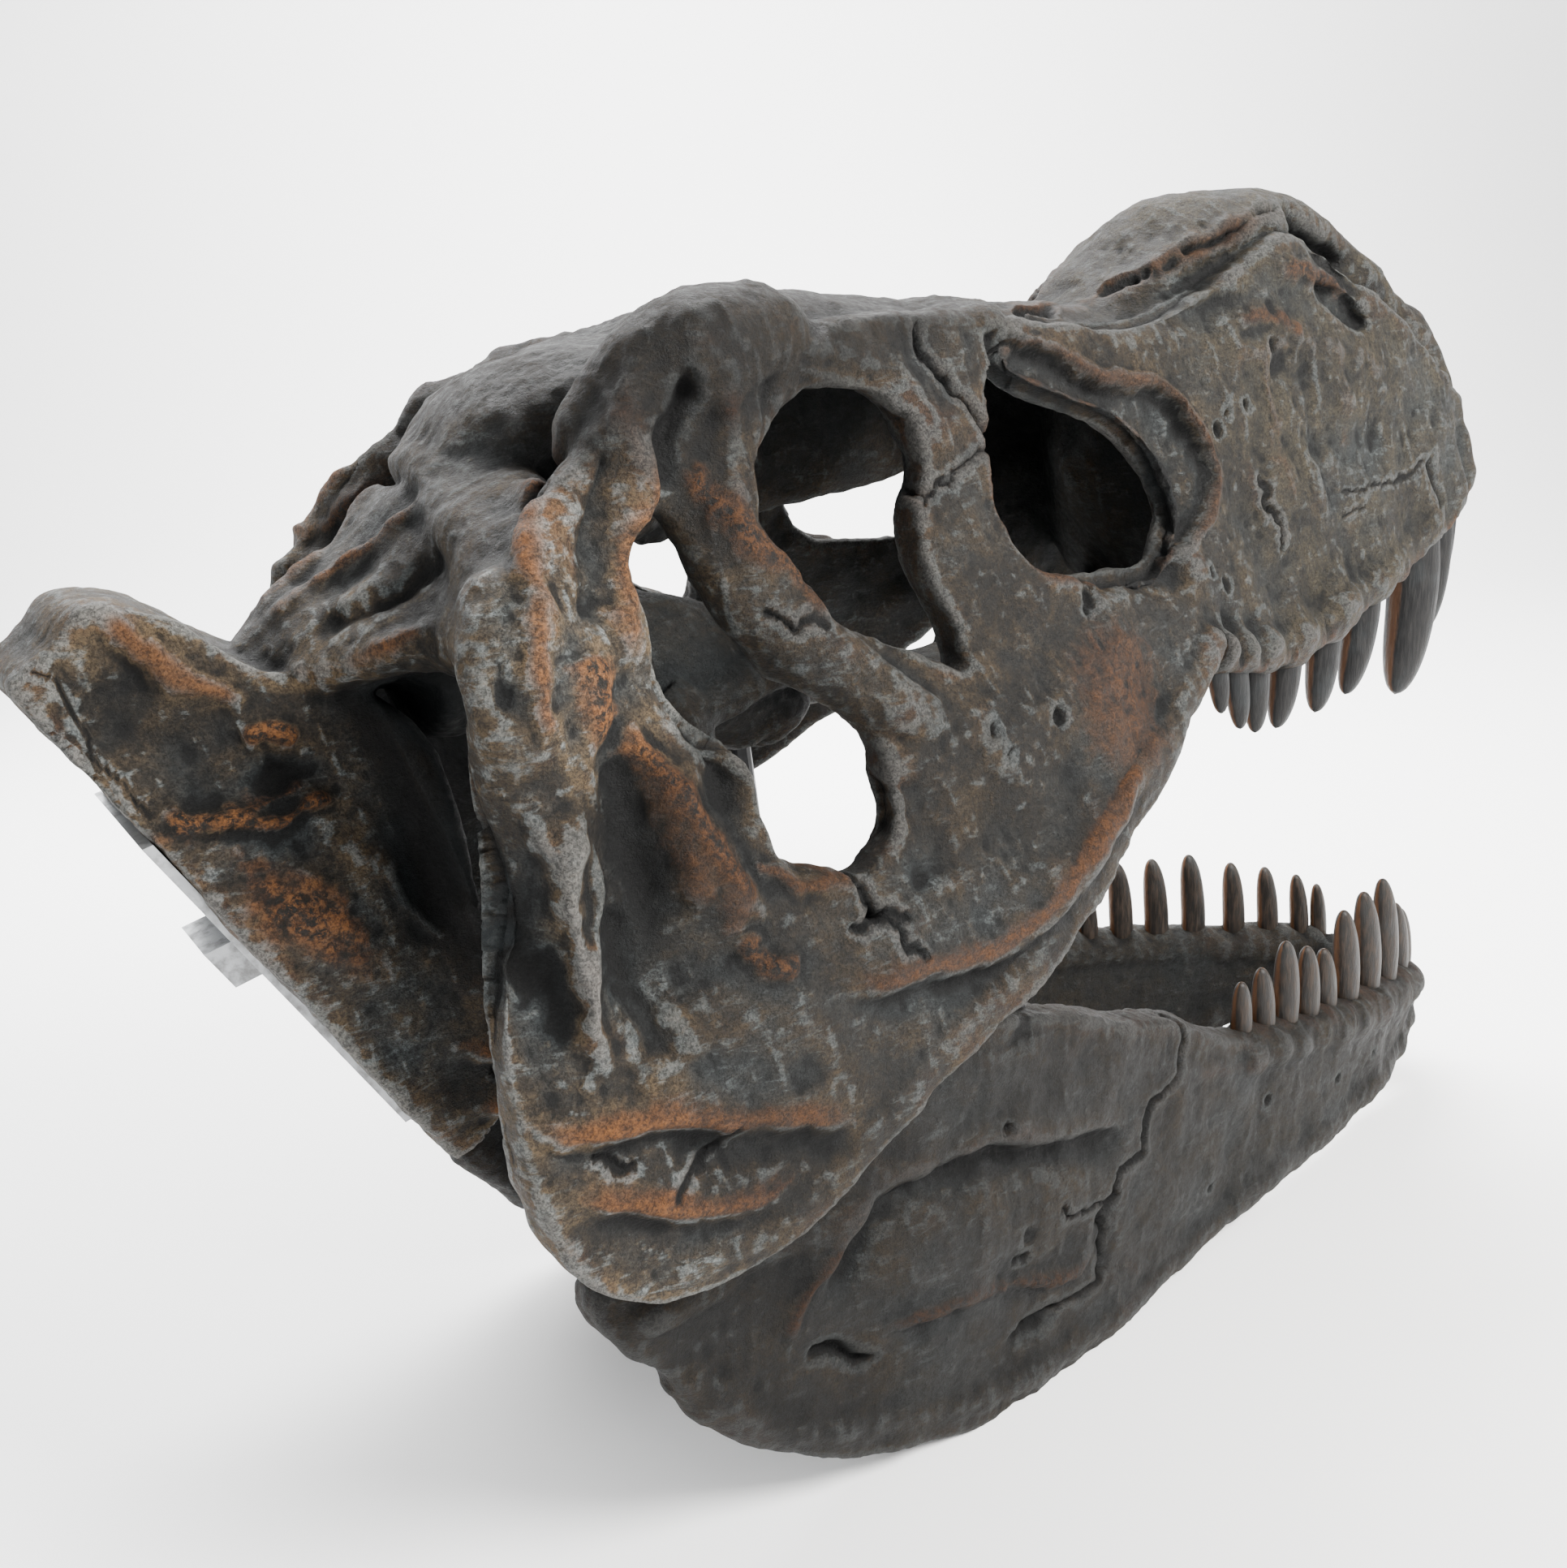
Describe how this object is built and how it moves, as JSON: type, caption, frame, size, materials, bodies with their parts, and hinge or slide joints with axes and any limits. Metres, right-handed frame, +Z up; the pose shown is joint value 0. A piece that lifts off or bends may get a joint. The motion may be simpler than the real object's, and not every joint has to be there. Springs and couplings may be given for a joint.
{
  "type": "tyrannosaur skull",
  "caption": "Life-size open-mouthed skull of a large meat-eating dinosaur, resting on its lower jaw with two rods holding the cranium up and a short sawn neck stub.",
  "frame": {"origin": "middle of the bounding box in plan, on the floor that the lower jaw rests on", "axes": "+X towards the snout, +Y to the animal's left, +Z up"},
  "size_m": [1.5782, 0.6096, 1.0599],
  "materials": {
    "angular_left": "mineralised bone, matte dark brown-grey with worn copper-brown ridges and black hollows",
    "angular_right": "mineralised bone, matte dark brown-grey with worn copper-brown ridges and black hollows",
    "dentary_left": "mineralised bone, matte dark brown-grey with worn copper-brown ridges and black hollows",
    "dentary_right": "mineralised bone, matte dark brown-grey with worn copper-brown ridges and black hollows",
    "jugal_left": "mineralised bone, matte dark brown-grey with worn copper-brown ridges and black hollows",
    "jugal_right": "mineralised bone, matte dark brown-grey with worn copper-brown ridges and black hollows",
    "lacrimal_left": "mineralised bone, matte dark brown-grey with worn copper-brown ridges and black hollows",
    "lacrimal_right": "mineralised bone, matte dark brown-grey with worn copper-brown ridges and black hollows",
    "maxilla_left": "mineralised bone, matte dark brown-grey with worn copper-brown ridges and black hollows",
    "maxilla_right": "mineralised bone, matte dark brown-grey with worn copper-brown ridges and black hollows",
    "nasals": "mineralised bone, matte dark brown-grey with worn copper-brown ridges and black hollows",
    "neck_stub": "mineralised bone, matte dark brown-grey with worn copper-brown ridges and black hollows",
    "occiput": "mineralised bone, matte dark brown-grey with worn copper-brown ridges and black hollows",
    "palate": "mineralised bone, matte dark brown-grey with worn copper-brown ridges and black hollows",
    "postorbital_left": "mineralised bone, matte dark brown-grey with worn copper-brown ridges and black hollows",
    "postorbital_right": "mineralised bone, matte dark brown-grey with worn copper-brown ridges and black hollows",
    "premaxilla": "mineralised bone, matte dark brown-grey with worn copper-brown ridges and black hollows",
    "quadratojugal_left": "mineralised bone, matte dark brown-grey with worn copper-brown ridges and black hollows",
    "quadratojugal_right": "mineralised bone, matte dark brown-grey with worn copper-brown ridges and black hollows",
    "skull_roof": "mineralised bone, matte dark brown-grey with worn copper-brown ridges and black hollows",
    "squamosal_left": "mineralised bone, matte dark brown-grey with worn copper-brown ridges and black hollows",
    "squamosal_right": "mineralised bone, matte dark brown-grey with worn copper-brown ridges and black hollows",
    "stand_rod_left": "black satin paint",
    "stand_rod_right": "black satin paint",
    "stand_wall_hook": "worn grey steel",
    "stand_wall_plate": "worn grey steel",
    "surangular_left": "mineralised bone, matte dark brown-grey with worn copper-brown ridges and black hollows",
    "surangular_right": "mineralised bone, matte dark brown-grey with worn copper-brown ridges and black hollows"
  },
  "bodies": {
    "root": {"angular_left": "angular_left", "angular_right": "angular_right", "dentary_left": "dentary_left", "dentary_right": "dentary_right", "jugal_left": "jugal_left", "jugal_right": "jugal_right", "lacrimal_left": "lacrimal_left", "lacrimal_right": "lacrimal_right", "maxilla_left": "maxilla_left", "maxilla_right": "maxilla_right", "nasals": "nasals", "neck_stub": "neck_stub", "occiput": "occiput", "palate": "palate", "postorbital_left": "postorbital_left", "postorbital_right": "postorbital_right", "premaxilla": "premaxilla", "quadratojugal_left": "quadratojugal_left", "quadratojugal_right": "quadratojugal_right", "skull_roof": "skull_roof", "squamosal_left": "squamosal_left", "squamosal_right": "squamosal_right", "stand_rod_left": "stand_rod_left", "stand_rod_right": "stand_rod_right", "stand_wall_hook": "stand_wall_hook", "stand_wall_plate": "stand_wall_plate", "surangular_left": "surangular_left", "surangular_right": "surangular_right"}
  },
  "joints": []
}
